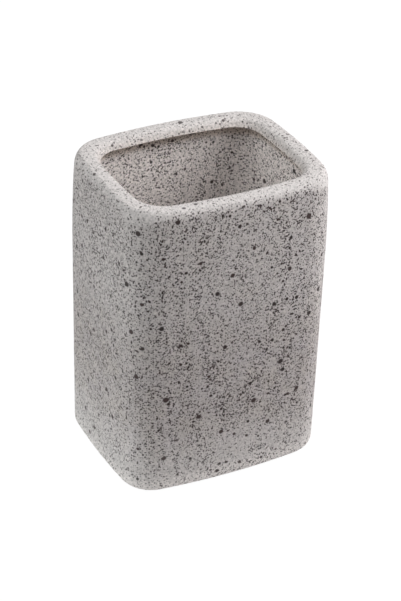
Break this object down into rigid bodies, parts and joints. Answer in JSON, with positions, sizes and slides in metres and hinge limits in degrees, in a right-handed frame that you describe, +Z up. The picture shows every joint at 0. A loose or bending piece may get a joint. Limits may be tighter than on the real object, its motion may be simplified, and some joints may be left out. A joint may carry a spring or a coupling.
{
  "type": "toothbrush tumbler",
  "caption": "Tall rounded rectangular ceramic tumbler with a rolled rim and an open well that toothbrushes stand in, on small non-slip pads.",
  "frame": {"origin": "middle of the footprint, on the surface that the pads stand on", "axes": "+Z up through the mouth, -Y out of the front, which is a long side, +X to the right of someone who faces the front"},
  "size_m": [0.0772, 0.0636, 0.1113],
  "materials": {
    "speckled_glaze": "matt speckled glaze",
    "pad_rubber": "matt"
  },
  "bodies": {
    "root": {"tumbler_body": "speckled_glaze", "foot_pad_front_left": "pad_rubber", "foot_pad_front_right": "pad_rubber", "foot_pad_back_left": "pad_rubber", "foot_pad_back_right": "pad_rubber"}
  },
  "joints": []
}
